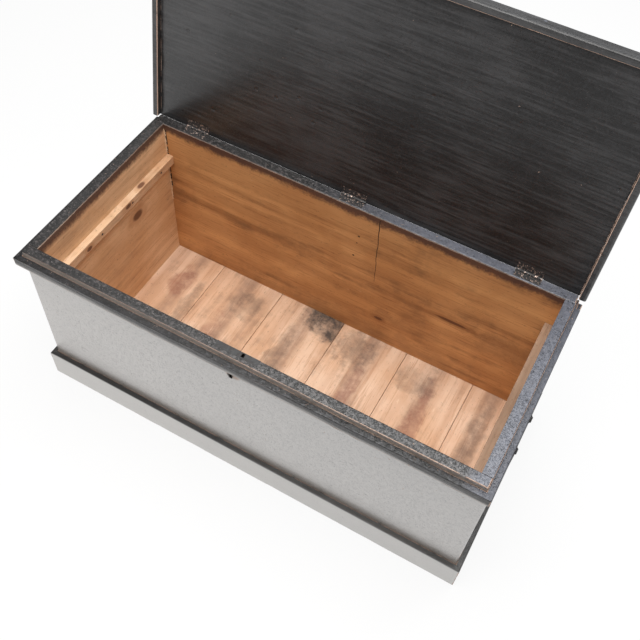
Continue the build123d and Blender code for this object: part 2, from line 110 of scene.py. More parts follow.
class Finish:
    def __init__(self, name):
        self.material = bpy.data.materials.new(name)
        self.material.use_nodes = True
        self.tree = self.material.node_tree
        self.tree.nodes.clear()
        self.place = self.node("ShaderNodeTexCoord", output="Object")
        self.x = self.node("ShaderNodeSeparateXYZ", inputs={0: self.place}, output="X")
        self.y = self.node("ShaderNodeSeparateXYZ", inputs={0: self.place}, output="Y")
        self.z = self.node("ShaderNodeSeparateXYZ", inputs={0: self.place}, output="Z")

    def node(self, kind, settings=None, inputs=None, output=0):
        made = self.tree.nodes.new(kind)
        for key, value in (settings or {}).items():
            setattr(made, key, value)
        for key, value in (inputs or {}).items():
            if isinstance(value, Wire):
                self.tree.links.new(value.socket, made.inputs[key])
            elif made.inputs[key].type == "RGBA":
                made.inputs[key].default_value = (*value[:3], 1.0)
            else:
                made.inputs[key].default_value = value
        return Wire(self, made.outputs[output])

    def sums(self, operation, *values):
        return self.node("ShaderNodeMath", {"operation": operation}, dict(enumerate(values)))

    def vector(self, operation, *values, output=0):
        settings = {"operation": operation}
        return self.node("ShaderNodeVectorMath", settings, dict(enumerate(values)), output)

    def noise(self, scale, detail=3.0, rough=0.5, place=None, bend=0.0):
        inputs = {"Vector": place or self.place, "Scale": scale, "Detail": detail}
        inputs.update({"Roughness": rough, "Distortion": bend})
        return self.node("ShaderNodeTexNoise", inputs=inputs)

    def ramped(self, value, low, high):
        # 0 below low and 1 above high, or the other way round where low is the larger
        settings = {"interpolation_type": "SMOOTHSTEP"}
        inputs = {"Value": value, "From Min": low, "From Max": high}
        return self.node("ShaderNodeMapRange", settings, inputs)

    def mix(self, share, first, second):
        # sockets 6 and 7 are the two colours, and output 2 is the mixed one
        inputs = {0: share, 6: first, 7: second}
        return self.node("ShaderNodeMix", {"data_type": "RGBA"}, inputs, 2)

    def along(self, grain, stretch, shift=0.0):
        # coordinates with the grain first, then across it, then into the board
        order = {
            "x": (self.x, self.z, self.y),
            "y": (self.y, self.z, self.x),
            "floor": (self.y, self.x, self.z),
        }
        first, across, deep = order[grain]
        inputs = {0: first * stretch + shift, 1: across + shift, 2: deep}
        return self.node("ShaderNodeCombineXYZ", inputs=inputs)

    def near(self, centre, reach, ragged=None):
        # 1 at the centre of an ellipsoid and 0 at its surface
        away = self.vector("SUBTRACT", self.place, centre)
        scaled = self.vector("DIVIDE", away, reach)
        distance = self.vector("LENGTH", scaled, output="Value")
        if ragged:
            distance = distance + ragged
        return self.ramped(distance, 1.0, 0.55)

    def between(self, value, low, high):
        return (value > low) * (value < high)

    def upward(self):
        # 1 on faces that look up, 0 on upright ones
        normal = self.node("ShaderNodeNewGeometry", output="Normal")
        return self.node("ShaderNodeSeparateXYZ", inputs={0: normal}, output="Z")

    def most(self, *masks):
        total = masks[0]
        for mask in masks[1:]:
            total = self.sums("MAXIMUM", total, mask)
        return total

    def surface(self, look, colour, rough, relief, coat=None, metal=None):
        bumps = {"Strength": 1.0, "Distance": look["depth"], "Height": relief}
        inputs = {"Base Color": colour, "Roughness": rough}
        inputs["Normal"] = self.node("ShaderNodeBump", inputs=bumps, output="Normal")
        inputs.update(look["shine"])
        if coat is not None:
            inputs["Coat Weight"] = coat
        if metal is not None:
            inputs["Metallic"] = metal
        shader = self.node("ShaderNodeBsdfPrincipled", inputs=inputs, output="BSDF")
        end = self.tree.nodes.new("ShaderNodeOutputMaterial")
        self.tree.links.new(shader.socket, end.inputs["Surface"])
        return self.material


# the line that the lid turns on, and how far round it edges stay sharp
hingeLine = {"y": 0.237, "z": 0.43725, "reach": 0.006, "gap": 0.00022}

# the inner faces of the box's walls and the height of the rim, read from the frame
trunk = {
    "left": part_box("left_end")[1][0],
    "right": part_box("right_end")[0][0],
    "front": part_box("front_board")[1][1],
    "back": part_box("back_board")[0][1],
    "rim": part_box("front_board")[1][2],
    "floorTop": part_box("floor_board_1")[1][2],
    "skin": 0.0005,
    "jointReach": 0.001,
}


def paintLayer(finish, look):
    # black paint: gives its colour, roughness, coat and height
    broad = finish.noise(4.0, 4.0, 0.55)
    fine = finish.noise(70.0, 4.0, 0.6)
    streak = finish.noise(look["streaks"], 4.0, 0.6, finish.along(look["grain"], 0.06, 0.3))
    pits = finish.noise(420.0, 2.0, 0.6)
    blisters = finish.noise(look["blisters"], 3.0, 0.7, bend=0.6)
    colour = finish.mix(finish.ramped(broad + streak, 0.8, 1.25), look["deep"], look["dull"])
    colour = finish.mix(finish.ramped(blisters, 0.5, 0.36) * look["dust"], colour, look["dustColour"])
    # painted glare: grey mixed into the colour in place of the white studio's reflection in the black
    # gloss
    if "paintedGlare" in look:
        glareColour = look["glareColour"]
        if callable(glareColour):
            glareColour = glareColour(finish)
        colour = finish.mix(look["paintedGlare"](finish), colour, glareColour)
    # light flecks: paint specks, and painted glints standing in for light caught in the pits
    flecksAndGlints = finish.ramped(finish.noise(330.0, 3.0, 0.8), look["flecksAndGlints"], look["flecksAndGlints"] + 0.06)
    colour = finish.mix(flecksAndGlints * 0.75, colour, look["fleckAndGlintColour"])
    holes = finish.ramped(finish.noise(250.0, 3.0, 0.75), 0.42, 0.34) * look["pitted"]
    colour = finish.mix(holes, colour, look["deep"])
    flat = finish.ramped(finish.upward(), 0.6, 0.9)
    rubbed = finish.node("ShaderNodeAttribute", {"attribute_name": "worn"}, output="Fac")
    patchy = finish.ramped(finish.noise(38.0, 5.0, 0.7) + fine * 0.4, look["rub"], look["rub"] + 0.14)
    edge = rubbed * patchy
    chips = finish.ramped(finish.noise(150.0, 3.0, 0.75, bend=0.3), look["chips"], look["chips"] + 0.03)
    bare = finish.most(edge, chips)
    if "bare" in look:
        bare = finish.most(bare, look["bare"](finish))
    colour = finish.mix(bare, colour, look["bareColour"])
    rough = look["rough"] + streak * 0.14 + fine * 0.1 + bare * 0.3 - 0.1
    coat = (1 - bare) * (look["coat"] + (look["flatCoat"] - look["coat"]) * flat)
    if "coatMask" in look:
        coat = coat * look["coatMask"](finish)
    relief = pits * -0.35 + streak * look["grainRelief"] - chips * 0.6 - edge * 0.3 - holes * 0.6
    relief = relief - finish.ramped(blisters, 0.52, 0.66) * look["crackleRelief"]
    if "dents" in look:
        relief = relief - look["dents"](finish)
    return colour, rough, coat, relief


def pineLayer(finish, look):
    # bare pine: gives its colour, roughness and height
    place = finish.along(look["grain"], 0.16, look["shift"])
    wander = finish.noise(3.2, 3.0, 0.5, place, 0.4)
    rings = finish.node(
        "ShaderNodeTexWave",
        {"bands_direction": "Y"},
        {
            "Vector": place,
            "Scale": look["rings"],
            "Distortion": 9.0,
            "Detail": 2.0,
            "Detail Scale": 0.9,
        },
        "Fac",
    )
    fibre = finish.noise(260.0, 3.0, 0.6, finish.along(look["grain"], 0.045, look["shift"]))
    streak = finish.noise(34.0, 4.0, 0.6, finish.along(look["grain"], 0.09, look["shift"]))
    blotch = finish.noise(5.5, 4.0, 0.6, bend=0.3)
    colour = finish.mix(finish.ramped(blotch, 0.34, 0.66), look["pale"], look["warm"])
    ringed = finish.ramped(rings * 0.5 + wander, 0.55, 1.0)
    colour = finish.mix(ringed * look["ringShare"], colour, look["ring"])
    colour = finish.mix(finish.ramped(streak, 0.5, 0.72) * look["streakShare"], colour, look["ring"])
    colour = finish.mix(finish.ramped(fibre, 0.5, 0.72) * 0.5, colour, look["ring"])
    speckled = finish.noise(300.0, 3.0, 0.7, finish.along(look["grain"], 0.4))
    specks = finish.ramped(speckled, 0.6, 0.74)
    colour = finish.mix(specks * look["specks"], colour, look["grimeColour"])
    grime = finish.ramped(finish.noise(11.0, 5.0, 0.7) * 0.6 + streak * 0.4, 0.5, 0.68)
    colour = finish.mix(grime * look["grime"], colour, look["grimeColour"])
    scratched = finish.noise(60.0, 4.0, 0.7, finish.along(look["grain"], 0.3, 5.0))
    scratches = finish.ramped(scratched, 0.66, 0.74)
    colour = finish.mix(scratches * look["scratches"], colour, look["scratchColour"])
    relief = fibre * 0.35 + rings * 0.15 - grime * 0.1
    ragged = (finish.noise(24.0, 4.0, 0.65) - 0.5) * 1.1
    patches = finish.ramped(finish.noise(30.0, 6.0, 0.75), 0.3, 0.66) * 0.6 + 0.35
    if "heart" in look:
        middle, wide = look["heart"]
        away = finish.sums("ABSOLUTE", finish.x - middle) + (wander - 0.5) * 0.07
        heart = finish.ramped(away, wide, wide * 0.2) * patches
        colour = finish.mix(heart * 0.6, colour, look["heartColour"])
    for centre, reach in look.get("knots", ()):
        core = finish.near(centre, reach, ragged * 0.4)
        halo = finish.near(centre, [size * 2.1 for size in reach], ragged)
        colour = finish.mix(halo * 0.45, colour, look["ring"])
        colour = finish.mix(core * 0.85, colour, look["knotColour"])
        relief = relief - core * 0.2
    for centre, reach, share, stainColour in look.get("stains", ()):
        stain = finish.near(centre, reach, ragged * 1.5) * patches
        colour = finish.mix(stain * share, colour, stainColour)
    for centre, reach in look.get("holes", ()):
        hole = finish.near(centre, (reach, reach, reach))
        colour = finish.mix(hole, colour, look["holeColour"])
        relief = relief - hole
    return colour, 0.62 + fibre * 0.15, relief


def paintFinish(name, look):
    finish = Finish(name)
    colour, rough, coat, relief = paintLayer(finish, look)
    return finish.surface(look, colour, rough, relief, coat=coat)


def pineFinish(name, look):
    finish = Finish(name)
    colour, rough, relief = pineLayer(finish, look)
    return finish.surface(look, colour, rough, relief)


# the darker band along the top of the bare inside, and how far the paint runs down to it
margin = {"bareTop": 0.0022, "bareFoot": 0.0008, "ragged": 5.0, "half": 0.010, "share": 0.9}


def boardFinish(name, paintLook, pineLook):
    # one board of the box: paint outside and on the rim, pine inside, a dark margin between
    finish = Finish(name)
    paintColour, paintRough, coat, paintRelief = paintLayer(finish, paintLook)
    pineColour, pineRough, pineRelief = pineLayer(finish, pineLook)
    skin = trunk["skin"]
    rim = trunk["rim"]
    inside = finish.between(finish.x, trunk["left"] - skin, trunk["right"] + skin)
    inside = inside * finish.between(finish.y, trunk["front"] - skin, trunk["back"] + skin)
    drip = finish.noise(30.0, 4.0, 0.7) * 0.006 + finish.noise(190.0, 2.0, 0.6) * 0.003
    bare = inside * finish.ramped(finish.z + drip, rim + margin["bareTop"], rim + margin["bareFoot"])
    darkBand = finish.z + drip * margin["ragged"]
    darkBand = finish.ramped(darkBand, rim - margin["half"], rim + margin["half"])
    pineColour = finish.mix(darkBand * margin["share"], pineColour, pineLook["marginColour"])
    if "cracks" in pineLook:
        crack = pineLook["cracks"](finish)
        pineColour = finish.mix(crack, pineColour, pineLook["holeColour"])
        pineRelief = pineRelief - crack * 2.0
    colour = finish.mix(bare, paintColour, pineColour)
    rough = paintRough + (pineRough - paintRough) * bare
    relief = paintRelief + (pineRelief - paintRelief) * bare
    coat = coat * (1 - bare)
    # the keyhole's walls and edge: bare wood and painted shade, near black
    if "hollow" in paintLook:
        hollow = paintLook["hollow"](finish)
        colour = finish.mix(hollow, colour, pineLook["holeColour"])
        coat = coat * (1 - hollow)
    return finish.surface(paintLook, colour, rough, relief, coat=coat)


# paint looks: patterns are in repeats to the metre, and a lower rub, chips or flecksAndGlints gives more
# of them; those light flecks are paint specks and painted glints
paint = {
    "grain": "x",
    "deep": (0.007, 0.0068, 0.007),
    "dull": (0.019, 0.018, 0.018),
    "dustColour": (0.10, 0.10, 0.115),
    "bareColour": (0.47, 0.33, 0.26),  # wood or primer where the paint is off
    "streaks": 55.0,
    "blisters": 170.0,
    "dust": 0.08,
    "flecksAndGlints": 0.74,
    "fleckAndGlintColour": (0.30, 0.26, 0.25),
    "pitted": 0.3,
    "crackleRelief": 0.25,
    "grainRelief": 0.35,
    "rough": 0.28,
    "coat": 1.0,
    "flatCoat": 0.06,  # on faces that look up
    "rub": 0.6,
    "chips": 0.72,
    "depth": 0.0009,  # of the relief, in metres
    "shine": {"IOR": 1.48, "Coat IOR": 3.2, "Coat Roughness": 0.32},
}

# where painted glare greys the paint, standing in for the studio reflected in the black gloss: along X on
# the right end, X and Y at the back, Z on the moulding
paintedGlare = {
    "rightFrom": 0.44,
    "rightTo": 0.485,
    "rearFrom": -0.15,
    "rearTo": 0.2,
    "rearNear": 0.19,
    "rearFar": 0.214,
    "wallColour": (0.42, 0.378, 0.343),
    "topColour": (0.155, 0.165, 0.205),
    "trimTop": 0.416,
    "trimFoot": 0.398,
    "trimShare": 0.7,
    "lineShare": 0.3,
}


def rimGlare(finish):
    # painted glare: the rim is painted greyer along the right end and the right half of the back, in
    # place of the studio's reflection in the gloss
    side = finish.ramped(finish.x, paintedGlare["rightFrom"], paintedGlare["rightTo"])
    rear = finish.ramped(finish.x, paintedGlare["rearFrom"], paintedGlare["rearTo"])
    rear = rear * finish.ramped(finish.y, paintedGlare["rearNear"], paintedGlare["rearFar"])
    mottled = 0.25 + finish.noise(90.0, 4.0, 0.7) * 0.75
    return finish.most(side, rear) * finish.ramped(finish.upward(), 0.6, 0.9) * mottled


def sideGlare(finish):
    # painted glare: upright faces are painted grey where the black gloss would reflect the white studio,
    # a little less so towards the right
    dusty = 0.85 - finish.ramped(finish.x, -0.5, 0.5) * 0.3 + (finish.noise(3.0, 4.0) - 0.5) * 0.3
    return dusty * finish.ramped(finish.upward(), 0.5, 0.1)


def glareTint(finish):
    # the colour of the painted glare: bluish on faces that look up, warm grey on upright ones
    share = finish.ramped(finish.upward(), 0.5, 0.8)
    return finish.mix(share, paintedGlare["wallColour"], paintedGlare["topColour"])


# painted glare on the boards: the rim's and the upright faces'
def boxGlare(finish):
    return finish.most(rimGlare(finish), sideGlare(finish))


def lowerHalf(finish):
    # 1 on the lower half of the moulding, with a streaky upper edge
    streaks = (finish.noise(160.0, 3.0, 0.6, finish.along("x", 0.04, 1.0)) - 0.5) * 0.02
    return finish.ramped(finish.z + streaks, paintedGlare["trimTop"], paintedGlare["trimFoot"])


def trimGlare(finish):
    # painted glare: the lower half takes the upright faces' painted glare and the top the rim's, and fine
    # light streaks run along the dark upper half
    lines = finish.noise(330.0, 3.0, 0.6, finish.along("x", 0.03, 6.0))
    streaks = finish.ramped(lines, 0.52, 0.68) * finish.ramped(finish.upward(), 0.95, 0.6)
    return finish.most(
        rimGlare(finish) * paintedGlare["trimShare"],
        sideGlare(finish) * lowerHalf(finish),
        streaks * paintedGlare["lineShare"],
    )


# the opening in the front board, the near-black painted shade in and round it, and the wear round it
keyhole = {
    "left": -0.0275,
    "right": -0.0135,
    "low": 0.355,
    "high": 0.390,
    "face": -0.2367,
    "inside": -0.21,
    "wornShadeCentre": (-0.0215, -0.237, 0.3725),
    "wornShadeReach": (0.0085, 0.003, 0.0125),
    "rubCentre": (-0.016, -0.237, 0.380),
    "rubReach": (0.020, 0.004, 0.017),
    "rubShare": 0.8,
}


def keyholeShadeAndWear(finish):
    # the walls of the keyhole and its worn edge are painted near black: bare wood, darkened further as
    # painted shade in the hole
    sides = finish.between(finish.x, keyhole["left"], keyhole["right"])
    sides = sides * finish.between(finish.z, keyhole["low"], keyhole["high"])
    sides = sides * finish.between(finish.y, keyhole["face"], keyhole["inside"])
    ragged = (finish.noise(160.0, 3.0, 0.6) - 0.5) * 0.6
    worn = finish.near(keyhole["wornShadeCentre"], keyhole["wornShadeReach"], ragged)
    return finish.most(sides, worn)


def keyholeRub(finish):
    # fingers and keys have rubbed the paint pale beside the keyhole
    ragged = (finish.noise(70.0, 4.0, 0.7) - 0.5) * 0.9
    return finish.near(keyhole["rubCentre"], keyhole["rubReach"], ragged) * keyhole["rubShare"]


# the box, the moulding and the plinth take painted glare: grey that stands in for the studio reflected in
# the black gloss
boxPaint = dict(
    paint,
    paintedGlare=boxGlare,
    glareColour=glareTint,
    hollow=keyholeShadeAndWear,
    bare=keyholeRub,
    crackleRelief=0.7,
    chips=0.69,
    dust=0.5,
    dustColour=(0.15, 0.135, 0.135),
    flecksAndGlints=0.62,
    pitted=0.8,
    rub=0.5,
)
trimPaint = dict(
    paint,
    paintedGlare=trimGlare,
    glareColour=glareTint,
    coatMask=lowerHalf,
    rub=0.42,
    chips=0.68,
    crackleRelief=0.3,
    dust=0.35,
    flecksAndGlints=0.64,
    pitted=0.6,
)
plinthPaint = dict(
    paint,
    paintedGlare=sideGlare,
    glareColour=(0.42, 0.385, 0.34),
    dull=(0.05, 0.046, 0.042),
    rub=0.55,
    rough=0.34,
)

lidMarks = {"dents": 26.0, "dentDepth": 2.2, "gleam": 0.1, "gleamRise": 0.5, "lipGleam": 0.5}


def lidDents(finish):
    # round dents, in patches
    inputs = {"Vector": finish.place, "Scale": lidMarks["dents"]}
    cells = finish.node("ShaderNodeTexVoronoi", {"feature": "F1"}, inputs, "Distance")
    chosen = finish.ramped(finish.noise(14.0, 2.0), 0.5, 0.6)
    return finish.ramped(cells, 0.16, 0.05) * chosen * lidMarks["dentDepth"]


def lidBare(finish):
    # small bare spots
    return finish.ramped(finish.noise(85.0, 2.0, 0.8, bend=0.8), 0.755, 0.78)


def lidGleam(finish):
    # the lid shines most towards its left end
    return lidMarks["gleam"] + finish.ramped(finish.x, 0.1, -0.6) * lidMarks["gleamRise"]


def lipGleam(finish):
    return lidMarks["lipGleam"]


lidPaint = dict(
    paint,
    deep=(0.010, 0.0097, 0.0102),
    dull=(0.040, 0.0395, 0.041),
    streaks=150.0,
    flecksAndGlints=0.70,
    pitted=0.5,
    rough=0.3,
    coatMask=lidGleam,
    dents=lidDents,
    bare=lidBare,
    crackleRelief=0.12,
    grainRelief=0.8,
    chips=0.76,
    shine={"IOR": 1.36, "Coat IOR": 1.7, "Coat Roughness": 0.22},
)

# pine looks: a knot is a centre and a reach, a stain also has a share and a colour
pine = {
    "grain": "x",
    "shift": 0.0,
    "pale": (0.66, 0.355, 0.145),
    "warm": (0.53, 0.26, 0.095),
    "ring": (0.27, 0.105, 0.033),
    "rings": 5.0,
    "ringShare": 0.28,
    "streakShare": 0.42,
    "grime": 0.45,
    "specks": 0.65,
    "grimeColour": (0.10, 0.05, 0.025),
    "scratches": 0.3,
    "scratchColour": (0.75, 0.50, 0.30),
    "knotColour": (0.10, 0.03, 0.012),
    "holeColour": (0.012, 0.007, 0.004),
    "marginColour": (0.045, 0.018, 0.018),
    "heartColour": (0.24, 0.15, 0.11),
    "depth": 0.0012,
    "shine": {"IOR": 1.45},
}

backMarks = {
    "crackX": 0.065,
    "crackTop": 0.427,
    "crackLean": 0.04,
    "crackWander": 0.006,
    "crackLow": 0.227,
    "crackHigh": 0.429,
    "crackHalf": 0.0004,
    "crackGrowth": 0.0006,
    "tornLow": 0.24,
    "tornHigh": 0.42,
    "tornRight": -0.4785,
}


def backCrack(finish):
    # a crack that runs down from the rim, a little askew, and gaps in the joint with the left end
    wander = (finish.noise(25.0, 3.0) - 0.5) * backMarks["crackWander"]
    path = backMarks["crackX"] + (backMarks["crackTop"] - finish.z) * backMarks["crackLean"] + wander
    away = finish.sums("ABSOLUTE", finish.x - path)
    growth = finish.ramped(finish.z, 0.2, 0.43) * backMarks["crackGrowth"]
    width = backMarks["crackHalf"] + growth
    crack = finish.between(finish.z, backMarks["crackLow"], backMarks["crackHigh"]) * (away < width)
    torn = finish.ramped(finish.noise(75.0, 3.0, 0.6), 0.44, 0.48)
    torn = torn * finish.between(finish.z, backMarks["tornLow"], backMarks["tornHigh"])
    return finish.most(crack, torn * (finish.x < backMarks["tornRight"]))


backPine = dict(
    pine,
    knots=(
        ((0.098, trunk["back"], 0.1), (0.014, 0.03, 0.006)),
        ((0.27, trunk["back"], 0.21), (0.05, 0.03, 0.006)),
    ),
    holes=(
        ((0.022, trunk["back"], 0.353), 0.003),
        ((0.014, trunk["back"], 0.285), 0.003),
        ((0.019, trunk["back"], 0.33), 0.002),
    ),
    stains=(
        ((0.40, trunk["back"], 0.20), (0.10, 0.05, 0.05), 0.45, (0.13, 0.06, 0.028)),
        ((0.18, trunk["back"], 0.12), (0.12, 0.05, 0.03), 0.35, (0.14, 0.06, 0.03)),
        # this one darkens the back wall along its whole foot, next to the floor
        ((0.0, trunk["back"], 0.04), (0.5, 0.05, 0.05), 0.35, (0.20, 0.09, 0.04)),
    ),
    cracks=backCrack,
)
endPine = dict(
    pine,
    grain="y",
    shift=2.0,
    pale=(0.78, 0.53, 0.32),
    warm=(0.68, 0.41, 0.215),
    ring=(0.45, 0.22, 0.10),
    grime=0.2,
    scratches=0.6,
    knots=(
        ((trunk["left"], 0.081, 0.257), (0.03, 0.022, 0.016)),
        ((trunk["left"], -0.10, 0.13), (0.03, 0.012, 0.009)),
    ),
)
floorPine = dict(
    pine,
    grain="floor",
    pale=(0.78, 0.57, 0.42),
    warm=(0.68, 0.44, 0.285),
    ring=(0.46, 0.24, 0.13),
    rings=7.0,
    shiftStep=3.7,
    ringShare=0.28,
    streakShare=0.3,
    grime=0.5,
    grimeColour=(0.22, 0.14, 0.10),
    scratches=0.5,
    scratchColour=(0.85, 0.66, 0.48),
)
runnerPine = dict(
    pine,
    grain="y",
    shift=4.0,
    pale=(0.80, 0.58, 0.39),
    warm=(0.66, 0.42, 0.24),
    ring=(0.45, 0.22, 0.10),
    grime=0.25,
    knots=(
        ((-0.467, 0.04, 0.335), (0.02, 0.012, 0.008)),
        ((-0.467, -0.10, 0.33), (0.02, 0.01, 0.007)),
        ((-0.475, 0.10, 0.345), (0.008, 0.016, 0.01)),
    ),
)
# painted shade: the right runner is the left one's pine darkened, standing in for the shade it lies in
shadedRunnerPine = dict(
    runnerPine,
    pale=(0.33, 0.22, 0.15),
    warm=(0.27, 0.17, 0.11),
    ring=(0.16, 0.09, 0.05),
    knots=(),
)
redStain = (0.22, 0.05, 0.03)
greyStain = (0.10, 0.075, 0.06)
darkStain = (0.06, 0.045, 0.04)
blackStain = (0.045, 0.038, 0.035)
stainDepth = 0.02
# each floor board's heartwood as its X and half width, and its stains as X, Y, reach along X and Y,
# share and colour
floorMarks = {
    1: {
        "heart": (-0.40, 0.04),
        "stains": (
            (-0.41, 0.12, 0.035, 0.06, 0.5, redStain),
            (-0.36, 0.05, 0.02, 0.12, 0.5, greyStain),
        ),
    },
    2: {
        "heart": (-0.25, 0.035),
        "stains": (
            (-0.27, -0.05, 0.03, 0.14, 0.45, redStain),
            (-0.22, 0.14, 0.05, 0.05, 0.5, greyStain),
        ),
    },
    3: {
        "heart": (-0.075, 0.035),
        "stains": (
            (-0.01, 0.19, 0.09, 0.06, 1.0, blackStain),
            (-0.09, 0.0, 0.03, 0.16, 0.45, greyStain),
        ),
    },
    4: {
        "heart": (0.11, 0.03),
        "stains": (
            (0.07, 0.16, 0.06, 0.07, 0.55, darkStain),
            (0.11, -0.02, 0.025, 0.15, 0.45, redStain),
        ),
    },
    5: {
        "heart": (0.27, 0.035),
        "stains": (
            (0.28, 0.03, 0.025, 0.16, 0.45, redStain),
            (0.24, 0.15, 0.06, 0.05, 0.4, greyStain),
        ),
    },
    6: {
        "heart": (0.42, 0.03),
        "stains": ((0.42, 0.05, 0.03, 0.14, 0.4, greyStain),),
    },
}


def floorLook(number, marks):
    stains = [
        ((x, y, trunk["floorTop"]), (reachX, reachY, stainDepth), share, colour)
        for x, y, reachX, reachY, share, colour in marks["stains"]
    ]
    shift = number * floorPine["shiftStep"]
    return dict(floorPine, shift=shift, heart=marks["heart"], stains=stains)


print("finishes described")


iron = {
    "dark": (0.012, 0.012, 0.013),
    "rust": (0.026, 0.021, 0.020),
    "metalColour": (0.55, 0.42, 0.36),
    "bright": 0.70,
    "metal": 0.8,
    "depth": 0.0006,
    "shine": {"IOR": 1.6},
}


def ironFinish(name, look):
    finish = Finish(name)
    rust = finish.ramped(finish.noise(120.0, 5.0, 0.7), 0.42, 0.62)
    bright = finish.ramped(finish.noise(210.0, 3.0, 0.7, bend=0.5), look["bright"], look["bright"] + 0.05)
    worn = finish.node("ShaderNodeAttribute", {"attribute_name": "worn"}, output="Fac")
    bright = finish.most(bright, worn * finish.ramped(finish.noise(60.0, 3.0), 0.42, 0.56))
    colour = finish.mix(rust, look["dark"], look["rust"])
    colour = finish.mix(bright, colour, look["metalColour"])
    rough = 0.42 + rust * 0.25 - bright * 0.12
    relief = finish.noise(500.0, 3.0, 0.6) * 0.4 + rust * 0.4
    return finish.surface(look, colour, rough, relief, metal=bright * look["metal"])


finishes = {
    "front": boardFinish("frontBoardPaint", boxPaint, pine),
    "back": boardFinish("backBoardPaint", boxPaint, backPine),
    "end": boardFinish("endBoardPaint", dict(boxPaint, grain="y"), endPine),
    "trim": paintFinish("mouldingPaint", trimPaint),
    "plinth": paintFinish("plinthPaint", plinthPaint),
    "lid": paintFinish("lidPaint", lidPaint),
    "lip": paintFinish("lipPaint", dict(lidPaint, coatMask=lipGleam, rub=0.48)),
    "runner": pineFinish("runnerPine", runnerPine),
    # the right runner's pine, darkened as painted shade
    "paintedShadeRunner": pineFinish("paintedShadeRunnerPine", shadedRunnerPine),
    "iron": ironFinish("paintedIron", iron),
    "wornIron": ironFinish("wornIron", dict(iron, bright=0.57)),
    "splinter": pineFinish("splinterPine", dict(runnerPine, knots=(), pale=(0.9, 0.72, 0.5))),
}
for number, marks in floorMarks.items():
    finishes[f"floor{number}"] = pineFinish(f"floorPine{number}", floorLook(number, marks))
print("finishes made")


def staysSharp(nodeName, vert):
    # the joints of the box's corners, and the line where the lid meets the rim, show no light
    reach = hingeLine["reach"]
    atHinges = abs(vert.co.y - hingeLine["y"]) < reach and abs(vert.co.z - hingeLine["z"]) < reach
    atWall = abs(abs(vert.co.y) - trunk["back"]) < trunk["jointReach"]
    atCorner = nodeName.endswith("_end") and atWall
    return atHinges or atCorner


# the back face of the moulding on each side, and how its foot falls back towards it
moulding = {
    "foot": 0.403,
    "fall": 0.012,
    "undercut": 0.85,
    "front": -0.237,
    "left": -0.505,
    "right": 0.495,
}


def undercut(work):
    # the foot of the moulding falls back towards the box, so that the keyhole shows below it
    for vert in work.verts:
        share = min(max((moulding["foot"] - vert.co.z) / moulding["fall"], 0.0), 1.0)
        back = 1.0 - moulding["undercut"] * share
        if vert.co.y < moulding["front"]:
            vert.co.y = moulding["front"] + (vert.co.y - moulding["front"]) * back
        if vert.co.x < moulding["left"]:
            vert.co.x = moulding["left"] + (vert.co.x - moulding["left"]) * back
        if vert.co.x > moulding["right"]:
            vert.co.x = moulding["right"] + (vert.co.x - moulding["right"]) * back


def softened(nodeName, look):
    # a copy of a CAD node with its long edges eased and its faces a little uneven
    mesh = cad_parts[nodeName].data.copy()
    work = bmesh.new()
    work.from_mesh(mesh)
    bmesh.ops.remove_doubles(work, verts=work.verts, dist=look["merge"])
    flat = math.radians(look["flatAngle"])
    bmesh.ops.dissolve_limit(work, angle_limit=flat, verts=work.verts, edges=work.edges)
    worn = work.faces.layers.float.new("worn")
    if nodeName.endswith("moulding"):
        undercut(work)
    long = [
        edge
        for edge in work.edges
        if len(edge.link_faces) == 2
        and edge.calc_length() > look["edge"]
        and edge.calc_face_angle(0.0) > math.radians(look["sharpAngle"])
        and not all(staysSharp(nodeName, vert) for vert in edge.verts)
    ]
    eased = bmesh.ops.bevel(
        work,
        geom=long,
        offset=look["ease"],
        offset_type="OFFSET",
        segments=2,
        profile=0.5,
        affect="EDGES",
        clamp_overlap=False,
        material=-1,
    )
    for face in eased["faces"]:
        middle = face.calc_center_median()
        inside = abs(middle.x) < look["innerX"] and abs(middle.y) < look["innerY"]
        face[worn] = look["innerWear"] if inside else 1.0
    low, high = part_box(nodeName)
    size = high - low
    for axis in range(3):
        count = int(size[axis] / look["step"])
        for index in range(1, count + 1):
            point = Vector(low)
            point[axis] += size[axis] * index / (count + 1)
            direction = Vector((0.0, 0.0, 0.0))
            direction[axis] = 1.0
            bmesh.ops.bisect_plane(
                work,
                geom=work.verts[:] + work.edges[:] + work.faces[:],
                dist=look["cutReach"],
                plane_co=point,
                plane_no=direction,
            )
    work.normal_update()
    for vert in work.verts:
        if staysSharp(nodeName, vert):
            # the lid's edge all but closes the quarter of a millimetre to the rim
            if nodeName == "lid_board":
                vert.co.y -= hingeLine["gap"]
            continue
        sink = 0.5 + 0.5 * noise.noise(vert.co * look["wander"])
        fineSink = max(0.0, noise.noise(vert.co * look["fineWander"]) - look["fineFrom"])
        edgeShare = 1.0 if any(face[worn] for face in vert.link_faces) else look["faceShare"]
        vert.co -= vert.normal * (sink * look["sink"] + fineSink * look["nick"]) * edgeShare
        vert.co = [min(max(vert.co[axis], low[axis]), high[axis]) for axis in range(3)]
    bmesh.ops.triangulate(work, faces=[face for face in work.faces if len(face.verts) > 4])
    work.to_mesh(mesh)
    work.free()
    return mesh


